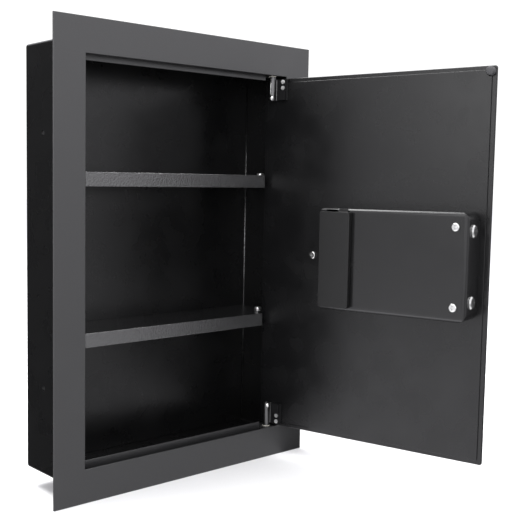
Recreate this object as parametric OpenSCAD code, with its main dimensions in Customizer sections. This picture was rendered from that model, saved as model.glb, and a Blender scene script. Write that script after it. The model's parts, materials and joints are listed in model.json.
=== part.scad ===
// Flat wall safe that fits between two wall studs: a front frame, a folded body with
// two bolted shelves, and a door on pivot pins that carries an electronic bolt lock.
// X runs along the wall, Y into the wall and Z up.  The origin is the centre of the
// wall cut-out in the plane of the wall, which is the back face of the front frame.
// Everything on the door is modelled with the door shut and then swung open by on_door().

/* [Front frame] */
// Width of the front frame
frame_w = 400; // [392:1:420]
// Height of the front frame
frame_h = 555; // [545:1:580]
// Thickness of the front frame plate
frame_t = 2; // [1.5:0.5:2.5]
// Width of the frame's left and right borders
border_side = 42; // [40:0.5:44]
// Height of the frame's top and bottom borders
border_end = 40.5; // [38:0.5:44]

/* [Body] */
// Width of the body behind the frame
body_w = 356; // [352:1:360]
// Height of the body behind the frame
body_h = 510; // [504:1:516]
// Depth of the body behind the frame
body_depth = 97; // [95:1:120]
// Thickness of the body's sheet
wall_t = 2; // [1.5:0.5:2]
// Diameter of the holes for the stud screws
anchor_d = 7; // [6:0.5:10]
// Distance of the bolt side's stud screw holes behind the frame
anchor_y = 58; // [50:1:64]
// Distance of the hinge side's stud screw holes behind the frame
anchor_y_hinge = 46; // [44:1:64]
// Height between the two stud screw holes of a side
anchor_pitch = 300; // [200:10:320]

/* [Door stops] */
// Distance of the stops behind the frame
stop_y = 10.5; // [10:0.5:12]
// Thickness of the stops
stop_t = 2; // [1.5:0.5:2.5]
// Height that the stops stand proud of the opening's edge
stop_proud = 6; // [5:0.5:7]
// Place of the hinge end of the top and bottom stops
stop_end = 131; // [120:1:132]

/* [Shelves] */
// Height of the lower shelf's top face
shelf_low = -81.5; // [-90:0.5:-76]
// Height of the upper shelf's top face
shelf_high = 106; // [100:1:120]
// Thickness of the shelf sheet
shelf_t = 1.5; // [1:0.25:2]
// Height of the shelf's front lip
shelf_lip = 17; // [12:1:18]
// Height of the shelf's back flange
shelf_back = 10; // [8:1:18]
// Distance of the shelf screws behind the frame
shelf_screw_y = 48; // [44:1:70]

/* [Door] */
// Angle at which the door stands open
door_open = 103.5; // [0:0.5:110]
// Thickness of the door's outer plate
plate_t = 4.5; // [3:0.5:5]
// Thickness of the door's inner liner
liner_t = 1.5; // [1:0.5:2]
// Inset of the liner from the door's edges
liner_inset = 5; // [4:0.5:8]
// Gap between the door and the frame on the bolt side
gap_free = 1.5; // [1:0.5:2]
// Gap between the door and the frame on the hinge side
gap_hinge = 2; // [2:0.5:3]
// Gap between the door and the frame at the top
gap_top = 3; // [2:0.5:4]
// Gap between the door and the frame at the bottom
gap_bottom = 1; // [1:0.5:3]

/* [Hinges] */
// Distance of the hinge axis from the door's hinge edge
pivot_in = 14; // [13:0.5:16]
// Distance of the hinge axis behind the door's inner face
pivot_back = 4.5; // [4.5:0.5:5]
// Diameter of the hinge pins
pin_d = 5; // [4:0.5:5]
// Outer diameter of the barrels around the hinge pins
barrel_d = 9; // [8:0.5:9]
// Height of the hinge barrels
barrel_h = 31; // [26:1:34]

/* [Lock housing] */
// Width of the lock housing
box_w = 193; // [185:1:196]
// Height of the lock housing
box_h = 128; // [120:1:130]
// Depth of the lock housing
box_d = 40; // [38:1:42]
// Thickness of the lock housing's sheet
box_t = 1.5; // [1:0.5:2]
// Width of the fixing tab beside the housing
tab_w = 44; // [38:1:50]
// Height of the lock's centre line above the body's centre
lock_z = 2; // [-10:1:10]

/* [Bolts] */
// Diameter of the locking bolts
bolt_d = 16; // [12:1:16]
// Height between the two locking bolts
bolt_pitch = 83; // [78:1:86]
// Distance that the bolts travel
bolt_throw = 19; // [15:1:19]

/* [Controls] */
// Width of the control panel on the door's front
panel_w = 160; // [150:2:170]
// Height of the control panel
panel_h = 104; // [96:2:120]
// Thickness of the control panel
panel_t = 12; // [10:1:16]
// Diameter of the opening knob
knob_d = 38; // [32:1:42]
// Distance that a key travels
key_travel = 1.2; // [0.8:0.1:1.5]

/* [Hidden] */
$fn = 64;

// Edges of the frame's opening and of the body's inside, measured from the centre
half_w = frame_w / 2 - border_side;
half_h = frame_h / 2 - border_end;
in_w = body_w / 2 - wall_t;
in_h = body_h / 2 - wall_t;
back_y = body_depth - wall_t;

// Edges and faces of the shut door
door_x0 = -half_w + gap_free;
door_x1 = half_w - gap_hinge;
door_z0 = -half_h + gap_bottom;
door_z1 = half_h - gap_top;
door_front = -frame_t;
plate_back = door_front + plate_t;
door_back = plate_back + liner_t;

// Hinge axis and the plates that carry it
pivot_x = door_x1 - pivot_in;
pivot_y = door_back + pivot_back;
hinge_plate_t = 3;
hinge_plate_z = half_h + 0.5;
bush_d = 9;
bush_flange_d = 10.5;
bush_flange_t = 1.2;
barrel_gap = 0.2;
barrel_top = hinge_plate_z - bush_flange_t - barrel_gap;
barrel_low = barrel_top - barrel_h;
pin_play = 0.06;
leaf_w = 26;
leaf_t = 2;
leaf_x = pivot_x + 4 - leaf_w;
leaf_screw_x = leaf_x + 7;
leaf_screw_d = 3;
leaf_screw_head_d = 5.4;
leaf_screw_z = [barrel_low + 16.5, barrel_low + 24.5];

// Rubber bumper and the height of its rim above the door's plate
bumper_x = door_x0 + 6;
bumper_z = door_z1 - 6.5;
bumper_r = 5;
bumper_h = 7.7;

// Lock housing and what stands around it
box_x0 = door_x0 + 11.5;
box_x1 = box_x0 + box_w;
box_y = door_back + box_d;
box_in_y = box_y - box_t;
bolt_y = door_back + 22;
bolt_end_x = box_x0 - 2.5;
guide_x0 = box_x0 + 6;
guide_w = 20;
guide_h = 108;
guide_gap = 54;
carriage_x0 = guide_x0 + guide_w + 2 + bolt_throw;
carriage_w = 48;
carriage_h = 100;
carriage_y = door_back + 10.5;
carriage_t = 3;
screw_d = 4;
screw_head_d = 10;
screw_head_h = 3;
recess_w = 5;
recess_t = 1.1;
recess_depth = 1.6;
face_screw_x = box_x0 + 14.5;
face_screw_z = 46.5;
tab_screw_x = box_x1 + 28.5;
bolt_clear = 1;
bolt_tail_d = 8;
strike_h = 120;

// Knob spindle and its crank, which turns a quarter turn for the whole bolt throw
spindle_x = carriage_x0 + 20;
spindle_z = lock_z + 12;
spindle_d = 8;
crank_r = bolt_throw / sqrt(2);
crank_pin_d = 5;
crank_play = 1.4;
crank_t = 3;
crank_y = door_back + 5;

// Solenoid that holds the carriage
solenoid_x = carriage_x0 + 36;
solenoid_z = lock_z - 12;
plunger_d = 8;
plunger_tip_y = carriage_y + carriage_t + 0.5;
collar_y = plunger_tip_y + 5;
coil_y = box_in_y - 11;
coil_d = 19;
yoke_t = 1.5;
yoke_w = 22;

// Battery bay
cell_d = 14.5;
cell_l = 50.5;
bay_x = box_x1 - 26.3;
bay_w = 35;
bay_h = 109;
cell_y = box_in_y - 8.5;
cover_w = 41;
cover_h = 119;
cover_rise = 8;
window_w = 32;
window_h = 106;

// Circuit board beside the solenoid and its standoffs
board_x = solenoid_x + 18;
board_y = door_back + 16;
board_w = 46;
board_h = 96;
board_t = 1.6;
board_hole_d = 3.2;
board_inset = 5;
tail_w = 14;
tail_t = 2;

// Control panel, keys, knob and key cylinder
panel_x = box_x0 + 113;
panel_front = door_front - panel_t;
panel_wall = 4;
key_w = 13;
key_h = 10;
key_pitch_x = 17;
key_pitch_z = 15;
key_x = panel_x + 44;
key_z = lock_z - 4;
light_z = key_z + 36;
light_d = 4;
knob_h = 22;
cylinder_x = box_x0 + 61;
cylinder_z = lock_z - 32;
cylinder_d = 14;
plug_d = 9;
cover_pivot_x = cylinder_x + 22;
cover_half = 10;
reset_y = door_back + 22;
reset_z = lock_z + 28;
reset_d = 7;

// Angles under the shelves
bracket_w = 26;
bracket_h = 16;
bracket_y0 = 34;
bracket_y1 = 84;
shelf_screw_x = in_w - 16;

key_names = ["1", "2", "3", "4", "5", "6", "7", "8", "9", "star", "0", "hash"];

// ---- Helpers ----

// Cuboid given by its lowest and highest corner
module block(low, high) {
    translate(low) cube(high - low);
}

// Rectangle with round corners, centred on the origin
module rounded_rect(w, h, r) {
    square([w - 2 * r, h], center = true);
    square([w, h - 2 * r], center = true);
    for (x = [-1, 1], z = [-1, 1])
        translate([x * (w / 2 - r), z * (h / 2 - r)]) circle(r);
}

// Upright slot with round ends, centred on the origin
module slot(w, l) {
    square([w, l - w], center = true);
    for (z = [-1, 1]) translate([0, z * (l - w) / 2]) circle(d = w);
}

// Stretches a shape drawn in X and Z from y0 to y1
module along_y(y0, y1) {
    translate([0, y1, 0]) rotate([90, 0, 0]) linear_extrude(y1 - y0) children();
}

// Plate in the plane of the wall, with round corners
module plate(x0, x1, z0, z1, y0, y1, r) {
    translate([(x0 + x1) / 2, 0, (z0 + z1) / 2])
        along_y(y0, y1) rounded_rect(x1 - x0, z1 - z0, r);
}

// Round bars along each axis
module bar_x(x0, x1, y, z, d) {
    translate([x0, y, z]) rotate([0, 90, 0]) cylinder(d = d, h = x1 - x0);
}
module bar_y(x, y0, y1, z, d) {
    translate([x, y0, z]) rotate([-90, 0, 0]) cylinder(d = d, h = y1 - y0);
}
module bar_z(x, y, z0, z1, d) {
    translate([x, y, z0]) cylinder(d = d, h = z1 - z0);
}

// Swings what was drawn with the door shut to the open door
module on_door() {
    translate([pivot_x, pivot_y, 0]) rotate([0, 0, door_open])
        translate([-pivot_x, -pivot_y, 0]) children();
}

// The shape and its mirror image below the centre line
module up_and_down() {
    children();
    mirror([0, 0, 1]) children();
}

// Half section of a pan head with a rounded top
module pan_profile() {
    r = screw_head_d / 2;
    edge = 1.4;
    translate([0, edge]) square([r, screw_head_h - edge]);
    square([r - edge, screw_head_h]);
    intersection() {
        translate([r - edge, edge]) circle(edge);
        square([r, edge]);
    }
}

// Pan head screw whose shank runs up from the origin, with its head below
module pan_screw(length) {
    difference() {
        union() {
            cylinder(d = screw_d, h = length);
            translate([0, 0, -screw_head_h]) rotate_extrude() pan_profile();
        }
        for (a = [0, 90]) rotate([0, 0, a])
            block([-recess_w / 2, -recess_t / 2, -screw_head_h - 1],
                  [recess_w / 2, recess_t / 2, -screw_head_h + recess_depth]);
    }
}

// Round shallow dome on the plane of the origin, r in radius and h high
module dome(r, h) {
    ball = (r * r + h * h) / (2 * h);
    rotate_extrude() intersection() {
        translate([0, h - ball]) circle(ball);
        square([r, h]);
    }
}

// ---- Front frame and body ----

module front_frame() {
    color([0.25, 0.25, 0.26]) difference() {
        plate(-frame_w / 2, frame_w / 2, -frame_h / 2, frame_h / 2, -frame_t, 0, 1);
        block([-half_w, -frame_t - 1, -half_h], [half_w, 1, half_h]);
    }
}

module body_shell() {
    color([0.17, 0.17, 0.18]) difference() {
        plate(-body_w / 2, body_w / 2, -body_h / 2, body_h / 2, 0, body_depth, 4);
        plate(-in_w, in_w, -in_h, in_h, -1, body_depth + 1, 2);
        for (z = [-1, 1]) {
            bar_x(-body_w, 0, anchor_y, z * anchor_pitch / 2, anchor_d);
            bar_x(0, body_w, anchor_y_hinge, z * anchor_pitch / 2, anchor_d);
        }
    }
}

// Back sheet, welded inside the back edge of the body
module back_panel() {
    color([0.17, 0.17, 0.18])
        plate(-in_w, in_w, -in_h, in_h, back_y, body_depth, 2);
}

// Angle that the door shuts against, with its leg on the body's top or bottom
module end_stop() {
    block([-half_w + stop_proud, stop_y, half_h - stop_proud],
          [stop_end, stop_y + stop_t, in_h]);
    block([-half_w + stop_proud, stop_y + stop_t, in_h - stop_t],
          [stop_end, stop_y + 14, in_h]);
}

module stop_top() {
    color([0.3, 0.3, 0.31]) end_stop();
}

module stop_bottom() {
    color([0.3, 0.3, 0.31]) mirror([0, 0, 1]) end_stop();
}

// Upright stop on the bolt side
module stop_left() {
    color([0.3, 0.3, 0.31])
        block([-in_w, stop_y, -in_h + 3], [-half_w + stop_proud, stop_y + stop_t, in_h - 3]);
}

// Angle behind the upright stop with a hole for each bolt
module strike_plate() {
    front = stop_y + stop_t;
    back = bolt_y + 18;
    x = -half_w - 6;
    low = lock_z - strike_h / 2;
    high = lock_z + strike_h / 2;
    color([0.3, 0.3, 0.31]) difference() {
        union() {
            block([x, front, low], [x + stop_t, back, high]);
            block([-in_w, back - stop_t, low], [x, back, high]);
        }
        for (s = [-1, 1])
            bar_x(x - 1, x + stop_t + 1, bolt_y, lock_z + s * bolt_pitch / 2, bolt_d + bolt_clear);
    }
}

// ---- Shelves ----

// Shelf pressed from one sheet, with a front lip and a back flange turned down.
// Its front right corner is cut back for the hinge edge of the door.
module shelf(top) {
    half = in_w - 0.5;
    front = stop_y + stop_t + 1;
    back = back_y - 0.5;
    notch_x = pivot_x - 6;
    notch_y = pivot_y + 21;
    color([0.24, 0.24, 0.25]) difference() {
        union() {
            block([-half, front, top - shelf_t], [half, back, top]);
            block([-half, front, top - shelf_lip], [notch_x, front + shelf_t, top - shelf_t]);
            block([-half, back - shelf_t, top - shelf_back], [half, back, top - shelf_t]);
        }
        block([notch_x, front - 1, top - shelf_lip - 1], [in_w + 1, notch_y, top + 1]);
        for (s = [-1, 1])
            bar_z(s * shelf_screw_x, shelf_screw_y, top - shelf_t - 1, top + 1, screw_d + 0.4);
    }
}

module shelf_upper() {
    shelf(shelf_high);
}

module shelf_lower() {
    shelf(shelf_low);
}

// Angles welded to the side walls, which the shelves rest on
module shelf_brackets() {
    color([0.2, 0.2, 0.21]) for (top = [shelf_low, shelf_high], s = [0, 1]) mirror([s, 0, 0]) {
        seat = top - shelf_t;
        difference() {
            union() {
                block([in_w - bracket_w, bracket_y0, seat - wall_t], [in_w, bracket_y1, seat]);
                block([in_w - wall_t, bracket_y0, seat - bracket_h], [in_w, bracket_y1, seat]);
            }
            bar_z(shelf_screw_x, shelf_screw_y, seat - wall_t - 1, seat + 1, screw_d);
        }
    }
}

// Screws down through the shelves into their angles
module shelf_screws() {
    color("silver") for (top = [shelf_low, shelf_high], s = [-1, 1])
        translate([s * shelf_screw_x, shelf_screw_y, top]) rotate([180, 0, 0]) pan_screw(8);
}

// ---- Hinges ----

// Angle behind the frame that holds the pivot bush, welded to the side wall
module hinge_plate() {
    color([0.3, 0.3, 0.31]) difference() {
        union() {
            block([stop_end + 0.5, 0, hinge_plate_z], [in_w, 24, hinge_plate_z + hinge_plate_t]);
            block([in_w - 2, 0, hinge_plate_z + hinge_plate_t], [in_w, 24, in_h - 3]);
        }
        bar_z(pivot_x, pivot_y, hinge_plate_z - 1, hinge_plate_z + hinge_plate_t + 1, bush_d);
    }
}

module hinge_plate_upper() {
    hinge_plate();
}

module hinge_plate_lower() {
    mirror([0, 0, 1]) hinge_plate();
}

// Flanged bushes that the pins turn in
module hinge_bushes() {
    color([0.85, 0.82, 0.7]) up_and_down() difference() {
        union() {
            bar_z(pivot_x, pivot_y, hinge_plate_z, hinge_plate_z + hinge_plate_t, bush_d);
            bar_z(pivot_x, pivot_y, hinge_plate_z - bush_flange_t, hinge_plate_z, bush_flange_d);
        }
        bar_z(pivot_x, pivot_y, half_h - 5, half_h + 10, pin_d + 2 * pin_play);
    }
}

// Bracket on the door's inner face with the barrel that holds the pin
module hinge_bracket() {
    low = barrel_low;
    leaf_top = door_z1 - 1;
    leaf_face = door_back + leaf_t;
    color([0.55, 0.55, 0.56]) difference() {
        union() {
            block([leaf_x, door_back, low], [leaf_x + leaf_w, leaf_face, leaf_top]);
            block([leaf_x + 2, leaf_face, low], [leaf_x + 12, leaf_face + 5, low + 13]);
            block([pivot_x - barrel_d / 2, leaf_face, low], [pivot_x + barrel_d / 2, pivot_y, leaf_top]);
            bar_z(pivot_x, pivot_y, low, barrel_top, barrel_d);
        }
        bar_z(pivot_x, pivot_y, low - 1, barrel_top + 1, pin_d);
        for (z = leaf_screw_z)
            bar_y(leaf_screw_x, door_back - 1, leaf_face + 1, z, leaf_screw_d);
    }
}

module hinge_bracket_upper() {
    on_door() hinge_bracket();
}

module hinge_bracket_lower() {
    on_door() mirror([0, 0, 1]) hinge_bracket();
}

module hinge_pins() {
    color("silver") on_door() up_and_down()
        bar_z(pivot_x, pivot_y, barrel_low + 1, hinge_plate_z + hinge_plate_t + 2, pin_d);
}

// Two small screws through each hinge leaf into the liner
module hinge_screws() {
    face = door_back + leaf_t;
    color("silver") on_door() up_and_down() for (z = leaf_screw_z) {
        bar_y(leaf_screw_x, plate_back - 1, face, z, leaf_screw_d);
        bar_y(leaf_screw_x, face, face + 1.4, z, leaf_screw_head_d);
    }
}

// Round head screw in the side of each barrel, which holds the pin
module pin_screws() {
    turn = [14, 58];
    head_r = 3;
    seat = barrel_d / 2 + 0.3;
    color("silver") on_door() for (s = [0, 1]) mirror([0, 0, s]) difference() {
        translate([pivot_x, pivot_y, barrel_low + 3.5]) rotate([0, 0, turn[s]]) {
            bar_y(0, 3, seat, 0, 2 * head_r);
            translate([0, seat, 0]) rotate([-90, 0, 0]) dome(head_r, 1.5);
        }
        bar_z(pivot_x, pivot_y, half_h - 40, half_h, barrel_d);
        block([pivot_x - barrel_d, door_back, half_h - 40], [pivot_x + barrel_d, pivot_y, half_h]);
    }
}

// ---- Door ----

// Holes that the control panel's parts need through the door
module door_holes(y0, y1) {
    bar_y(spindle_x, y0, y1, spindle_z, spindle_d + 4);
    bar_y(cylinder_x, y0, y1, cylinder_z, cylinder_d + 0.5);
    block([key_x - tail_w / 2 - 1, y0, lock_z - 2], [key_x + tail_w / 2 + 1, y1, lock_z + 2]);
}

// Holes for the screws that enter the door from inside
module screw_holes(y0, y1) {
    bar_y(tab_screw_x, y0, y1, lock_z, screw_d);
    for (s = [-1, 1], z = leaf_screw_z) bar_y(leaf_screw_x, y0, y1, s * z, leaf_screw_d);
}

module door_panel() {
    color([0.24, 0.24, 0.25]) on_door() difference() {
        plate(door_x0, door_x1, door_z0, door_z1, door_front, plate_back, 2.5);
        door_holes(door_front - 1, plate_back + 1);
        screw_holes(plate_back - 1, plate_back + 1);
    }
}

// Inner sheet of the door, with a round relief around the bumper
module door_liner() {
    i = liner_inset;
    color([0.24, 0.24, 0.25]) on_door() difference() {
        plate(door_x0 + i, door_x1 - i, door_z0 + i, door_z1 - i, plate_back, door_back, 2);
        door_holes(plate_back - 1, door_back + 1);
        screw_holes(plate_back - 1, door_back + 1);
        bar_y(bumper_x, plate_back - 1, door_back + 1, bumper_z, 2 * bumper_r + 1);
    }
}

// Rubber bumper in the door's top corner, which meets the stops
module door_bumper() {
    r = bumper_r;
    h = bumper_h;
    color([0.4, 0.4, 0.41]) on_door() translate([bumper_x, plate_back, bumper_z])
        rotate([-90, 0, 0]) rotate_extrude()
            polygon([[0, 0], [r, 0], [r, h - 1.3], [r - 0.6, h - 0.4], [r - 1.6, h], [0, h]]);
}

// ---- Lock housing ----

// Box with round corners and round front edges, from the door's liner to depth y
module soft_box(x0, x1, z0, z1, y, r_corner, r_edge) {
    y0 = door_back - 1;
    low = y0 - 2 * r_edge;
    depth = y - low;
    intersection() {
        plate(x0, x1, z0, z1, y0, y, r_corner);
        translate([(x0 + x1) / 2, low + depth / 2, z0]) linear_extrude(z1 - z0)
            rounded_rect(x1 - x0, depth, r_edge);
        translate([x0, low + depth / 2, (z0 + z1) / 2]) rotate([90, 0, 90])
            linear_extrude(x1 - x0) rounded_rect(depth, z1 - z0, r_edge);
    }
}

// Pressed cover over the lock, with a fixing tab on the hinge side, a window to the
// batteries and a finger notch above their cover
module lock_housing() {
    z0 = lock_z - box_h / 2;
    z1 = lock_z + box_h / 2;
    t = box_t;
    color([0.2, 0.2, 0.21]) on_door() difference() {
        union() {
            difference() {
                soft_box(box_x0, box_x1, z0, z1, box_y, 10, 5);
                soft_box(box_x0 + t, box_x1 - t, z0 + t, z1 - t, box_in_y, 10 - t, 5 - t);
            }
            plate(box_x1 - 12, box_x1 + tab_w, z0, z1, door_back, door_back + t, 10);
        }
        block([box_x0 - 1, door_back - 2, z0 - 1], [box_x1 + tab_w, door_back, z1 + 1]);
        block([box_x1 - 20, door_back - 1, z0 + 8], [box_x1 - t, door_back + t + 1, z1 - 8]);
        block([bay_x - window_w / 2, box_in_y - 1, lock_z - window_h / 2],
              [bay_x + window_w / 2, box_y + 1, lock_z + window_h / 2]);
        block([bay_x - 1, box_in_y - 3, lock_z + cover_h / 2 - 2],
              [bay_x + 15, box_y + 1, lock_z + cover_h / 2 + 2.5]);
        for (s = [-1, 1]) {
            bar_x(box_x0 - 1, box_x0 + 6, bolt_y, lock_z + s * bolt_pitch / 2, bolt_d + bolt_clear);
            bar_y(face_screw_x, box_in_y - 1, box_y + 1, lock_z + s * face_screw_z, screw_d + 0.4);
        }
        bar_y(tab_screw_x, door_back - 1, door_back + 3, lock_z, screw_d + 0.4);
        bar_x(box_x1 - 3, box_x1 + 1, reset_y, reset_z, reset_d + 0.4);
    }
}

module housing_screws() {
    color("silver") on_door() {
        for (s = [-1, 1])
            translate([face_screw_x, box_y, lock_z + s * face_screw_z]) rotate([90, 0, 0])
                pan_screw(7);
        translate([tab_screw_x, door_back + box_t, lock_z]) rotate([90, 0, 0]) pan_screw(3.8);
    }
}

// ---- Bolt work ----

// Guide block with a bore for each bolt
module bolt_guide() {
    color([0.6, 0.6, 0.62]) on_door() difference() {
        block([guide_x0, door_back, lock_z - guide_h / 2],
              [guide_x0 + guide_w, box_in_y, lock_z + guide_h / 2]);
        block([guide_x0 - 1, door_back + 6, lock_z - guide_gap / 2],
              [guide_x0 + guide_w + 1, box_y, lock_z + guide_gap / 2]);
        for (s = [-1, 1]) {
            bar_x(guide_x0 - 1, guide_x0 + guide_w + 1, bolt_y, lock_z + s * bolt_pitch / 2,
                  bolt_d + 2 * pin_play);
            bar_y(face_screw_x, box_in_y - 7.5, box_y, lock_z + s * face_screw_z, screw_d);
        }
    }
}

// Sliding carriage: a plate with a crank slot and a plunger hole, and a leg for the bolts
module bolt_carriage() {
    x0 = carriage_x0;
    y0 = carriage_y;
    y1 = carriage_y + carriage_t;
    slot_x = spindle_x + bolt_throw / 2;
    slot_z = spindle_z + crank_r * (1 + cos(45)) / 2;
    slot_l = crank_r * (1 - cos(45)) + crank_pin_d + 2 * crank_play;
    low = lock_z - carriage_h / 2;
    high = lock_z + carriage_h / 2;
    color([0.72, 0.72, 0.74]) on_door() difference() {
        union() {
            block([x0, y0, low], [x0 + carriage_w, y1, high]);
            block([x0, y1, low], [x0 + carriage_t, y1 + 18, high]);
        }
        translate([slot_x, 0, slot_z]) along_y(y0 - 1, y1 + 1) slot(crank_pin_d + crank_play, slot_l);
        bar_y(solenoid_x, y0 - 1, y1 + 1, solenoid_z, plunger_d + 1.5);
        for (s = [-1, 1])
            bar_x(x0 - 1, x0 + carriage_t + 1, bolt_y, lock_z + s * bolt_pitch / 2, bolt_tail_d);
    }
}

// Two bolts with round noses and threaded tails
module locking_bolts() {
    nose = 1.5;
    color("silver") on_door() for (s = [-1, 1]) translate([0, 0, lock_z + s * bolt_pitch / 2]) {
        bar_x(bolt_end_x + nose, carriage_x0, bolt_y, 0, bolt_d);
        translate([bolt_end_x, bolt_y, 0]) rotate([0, 90, 0])
            cylinder(d1 = bolt_d - 2 * nose, d2 = bolt_d, h = nose);
        bar_x(carriage_x0, carriage_x0 + 10, bolt_y, 0, bolt_tail_d);
    }
}

module bolt_nuts() {
    color("silver") on_door() for (s = [-1, 1]) difference() {
        translate([carriage_x0 + carriage_t, bolt_y, lock_z + s * bolt_pitch / 2]) rotate([0, 90, 0])
            cylinder(d = 15, h = 6, $fn = 6);
        bar_x(carriage_x0, carriage_x0 + 10, bolt_y, lock_z + s * bolt_pitch / 2, bolt_tail_d);
    }
}

// Spindle with a crank on its inner end, whose pin runs in the carriage's slot
module spindle() {
    color("silver") on_door() translate([spindle_x, 0, spindle_z]) {
        y1 = crank_y + crank_t;
        bar_y(0, panel_front - knob_h + 6, y1, 0, spindle_d);
        rotate([0, 45, 0]) {
            bar_y(0, crank_y, y1, 0, 2 * spindle_d);
            block([-crank_pin_d, crank_y, 0], [crank_pin_d, y1, crank_r]);
            bar_y(0, crank_y, y1, crank_r, 2 * crank_pin_d);
            bar_y(0, y1, y1 + 6, crank_r, crank_pin_d);
        }
    }
}

// Bush that lines the spindle's hole through the control panel and the door
module spindle_bush() {
    color([0.85, 0.82, 0.7]) on_door() difference() {
        bar_y(spindle_x, panel_front + 1, door_back, spindle_z, spindle_d + 4);
        bar_y(spindle_x, panel_front, door_back + 1, spindle_z, spindle_d + 2 * pin_play);
    }
}

// ---- Solenoid ----

module solenoid_frame() {
    x = solenoid_x;
    z = solenoid_z;
    y0 = coil_y - yoke_t;
    y1 = box_in_y - 2;
    half = yoke_w / 2;
    color([0.6, 0.6, 0.62]) on_door() difference() {
        union() {
            block([x - half - 5, y1, z - half - 5], [x + half + 5, box_in_y, z + half + 5]);
            block([x - half, y0, z - half - 1], [x + half, coil_y, z + half + 1]);
            for (low = [z - half - 1, z + half + 1 - yoke_t])
                block([x - half, coil_y, low], [x + half, y1, low + yoke_t]);
        }
        bar_y(x, y0 - 1, coil_y + 1, z, plunger_d + 0.2);
    }
}

module solenoid_coil() {
    color([0.72, 0.4, 0.18]) on_door() difference() {
        bar_y(solenoid_x, coil_y, box_in_y - 2, solenoid_z, coil_d);
        bar_y(solenoid_x, coil_y - 1, box_in_y - 1, solenoid_z, plunger_d + 0.2);
    }
}

// Plunger with the collar that its spring pushes on
module solenoid_plunger() {
    color("silver") on_door() {
        bar_y(solenoid_x, plunger_tip_y, box_in_y - 3.5, solenoid_z, plunger_d);
        bar_y(solenoid_x, collar_y, collar_y + 1, solenoid_z, plunger_d + 5);
    }
}

// Point of a helix about the Y axis, and the ring of points around its wire
spring_turns = 4;
spring_steps = 14;
spring_wire = 0.4;
spring_r = plunger_d / 2 + 1;
spring_len = coil_y - yoke_t - collar_y - 1 - 2 * spring_wire - 0.2;
function spring_ring(i) = let (
    a = 360 * i / spring_steps,
    rise = spring_len * i / (spring_turns * spring_steps)
) [for (j = [0 : 5]) let (b = 60 * j, r = spring_r + spring_wire * cos(b))
    [r * cos(a), rise + spring_wire * sin(b), r * sin(a)]];

module plunger_spring() {
    last = spring_turns * spring_steps;
    points = [for (i = [0 : last]) each spring_ring(i)];
    sides = [for (i = [0 : last - 1], j = [0 : 5])
        [6 * i + j, 6 * i + (j + 1) % 6, 6 * (i + 1) + (j + 1) % 6, 6 * (i + 1) + j]];
    color("silver") on_door()
        translate([solenoid_x, collar_y + 1 + spring_wire + 0.1, solenoid_z])
            polyhedron(points, concat(sides, [[5, 4, 3, 2, 1, 0]],
                       [[for (j = [0 : 5]) 6 * last + j]]), convexity = 6);
}

// ---- Electronics and batteries ----

// Places of the four standoffs
module at_standoffs() {
    for (x = [board_x + board_inset, board_x + board_w - board_inset], s = [-1, 1])
        translate([x, 0, lock_z + s * (board_h / 2 - board_inset)]) children();
}

// Circuit board with its chips, connector and capacitor
module circuit_board() {
    x0 = board_x;
    y1 = board_y + board_t;
    color([0.1, 0.35, 0.2]) on_door() {
        difference() {
            block([x0, board_y, lock_z - board_h / 2], [x0 + board_w, y1, lock_z + board_h / 2]);
            at_standoffs() bar_y(0, board_y - 1, y1 + 1, 0, board_hole_d);
        }
        block([x0 + 14, y1, lock_z - 8], [x0 + 30, y1 + 2.4, lock_z + 8]);
        block([x0 + 16, y1, lock_z + 22], [x0 + 26, y1 + 1.8, lock_z + 32]);
        block([x0 + 12, y1, lock_z - 38], [x0 + 34, y1 + 6.4, lock_z - 30]);
        bar_y(x0 + 36, y1, y1 + 11.4, lock_z + 30, 8);
    }
}

module board_standoffs() {
    color("gold") on_door() at_standoffs() {
        bar_y(0, door_back, board_y, 0, 6);
        bar_y(0, board_y, board_y + 3, 0, board_hole_d);
    }
}

// Open tray that holds the cells behind the window in the housing
module battery_tray() {
    t = 1.2;
    low = cell_y - cell_d / 2 - t - 0.2;
    color([0.12, 0.12, 0.13]) on_door() difference() {
        block([bay_x - bay_w / 2, low, lock_z - bay_h / 2],
              [bay_x + bay_w / 2, box_in_y, lock_z + bay_h / 2]);
        block([bay_x - bay_w / 2 + t, low + t, lock_z - bay_h / 2 + t],
              [bay_x + bay_w / 2 - t, box_y, lock_z + bay_h / 2 - t]);
    }
}

// Four AA cells in two columns, with their caps up on one side and down on the other
module batteries() {
    cap = 1.2;
    color([0.75, 0.6, 0.3]) on_door() for (s = [-1, 1], row = [-1, 1])
        translate([bay_x + s * 7.8, cell_y, lock_z + row * (cell_l / 2 + 0.6)])
            mirror([0, 0, s > 0 ? 1 : 0]) {
                bar_z(0, 0, -cell_l / 2, cell_l / 2 - cap, cell_d);
                bar_z(0, 0, cell_l / 2 - cap, cell_l / 2, 5.5);
            }
}

// Raised cover that slides up off the battery bay, with a finger latch on its top edge
// and a tapering row of grip grooves that point the way it slides
module battery_cover() {
    t = 1.6;
    x0 = bay_x - cover_w / 2;
    x1 = bay_x + cover_w / 2;
    low = lock_z - cover_h / 2;
    high = lock_z + cover_h / 2;
    y0 = box_y + 0.25;
    y1 = box_y + cover_rise;
    latch_x = bay_x - 10;
    color([0.2, 0.2, 0.21]) on_door() difference() {
        union() {
            plate(x0, x1, low, high, y0, y1, 2);
            plate(latch_x - 6, latch_x + 6, high - 4, high + 4, y0, y0 + 3, 2);
        }
        block([x0 + t, y0 - 1, low + t], [x1 - t, y1 - t, high - t]);
        for (k = [0 : 2])
            block([bay_x - 3 + k, y1 - 0.3, high - 13 + 1.6 * k],
                  [bay_x + 3 - k, y1 + 1, high - 12.4 + 1.6 * k]);
    }
}

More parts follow.
